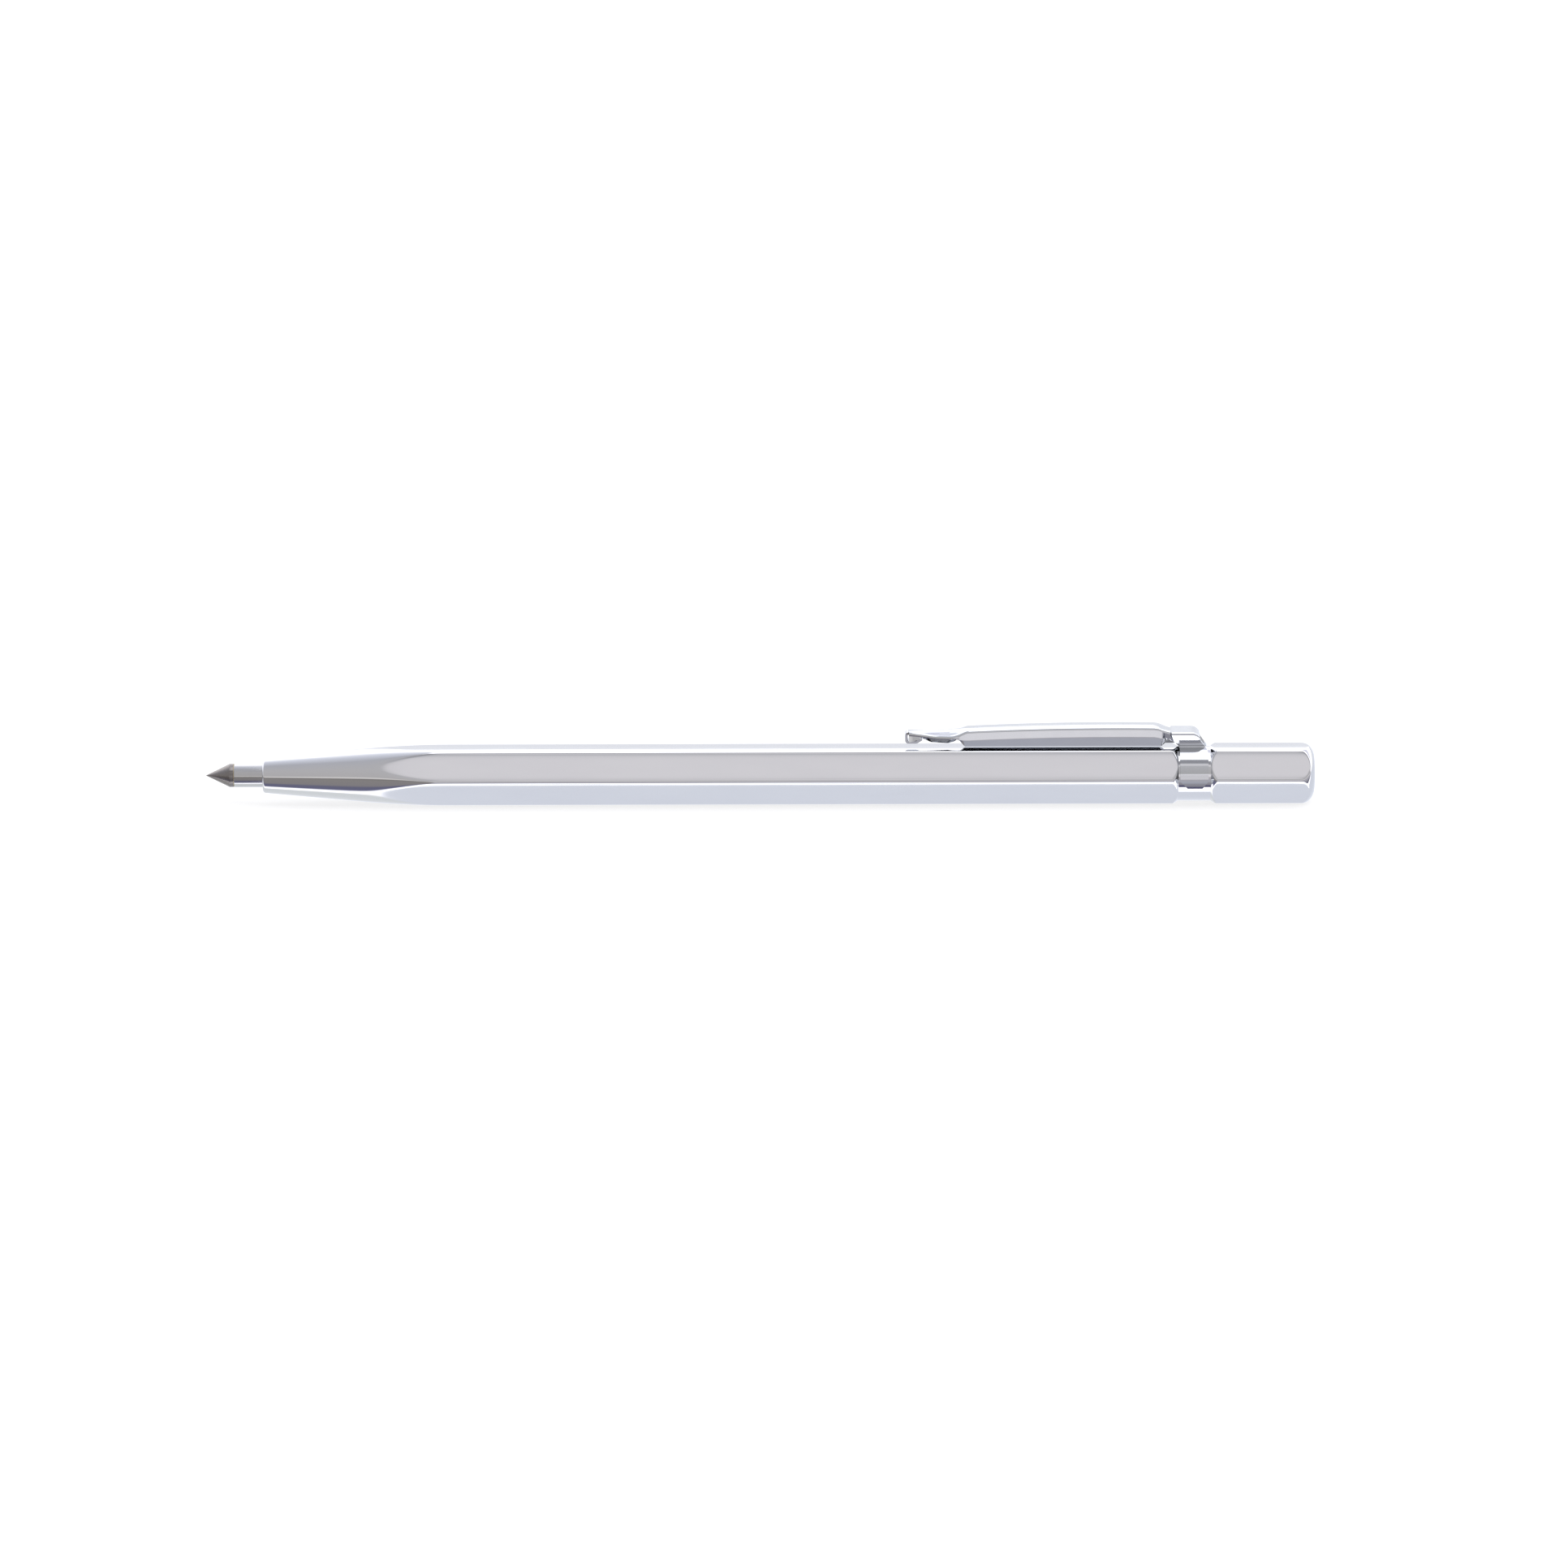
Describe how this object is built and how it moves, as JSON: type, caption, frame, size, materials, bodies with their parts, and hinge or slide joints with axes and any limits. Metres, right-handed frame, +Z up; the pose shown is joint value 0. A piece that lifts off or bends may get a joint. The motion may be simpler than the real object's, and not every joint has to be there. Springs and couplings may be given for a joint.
{
  "type": "pocket scriber",
  "caption": "Pen-shaped hexagonal scriber with a tapered nose, a pull-out carbide point and a sprung pocket clip on a swivelling strap.",
  "frame": {"origin": "middle of the bottom flat's length on the surface it lies on, under the centre of the bounding box", "axes": "+X from the scribing point to the rear end, +Z up through the top flat and the clip, +Y across the barrel"},
  "size_m": [0.14, 0.008, 0.0099],
  "materials": {
    "bright_plate": "hexagonal aluminium bar, machined, polished and bright plated, slightly bluish",
    "ground_steel": "centreless-ground steel rod with fine rings round it",
    "carbide": "diamond-ground tungsten carbide, dark warm grey with fine grinding marks",
    "braze": "silver-brass braze film",
    "spring_steel": "plain hardened spring steel, matt grey",
    "clip_plate": "stamped spring steel, bright nickel-chrome plated"
  },
  "bodies": {
    "barrel": {"barrel": "bright_plate"},
    "point": {"point_shank": "ground_steel", "carbide_tip": "carbide", "braze_joint": "braze", "grip_ring": "spring_steel"},
    "clip": {"clip_band": "clip_plate"},
    "clip_arm": {"clip_arm": "clip_plate"}
  },
  "joints": [
    {"name": "point_pull", "type": "slide", "parent": "barrel", "child": "point", "axis": [-1, 0, 0], "range_m": [0, 0.0225]},
    {"name": "clip_swivel", "type": "hinge", "parent": "barrel", "child": "clip", "pos_m": [0.0547, 0, 0.0035], "axis": [1, 0, 0], "continuous": true},
    {"name": "clip_flex", "type": "hinge", "parent": "clip", "child": "clip_arm", "pos_m": [0.05165, 0, 0.0092], "axis": [0, 1, 0], "range_deg": [0, 5], "stiffness_Nm_per_rad": 1.2}
  ]
}
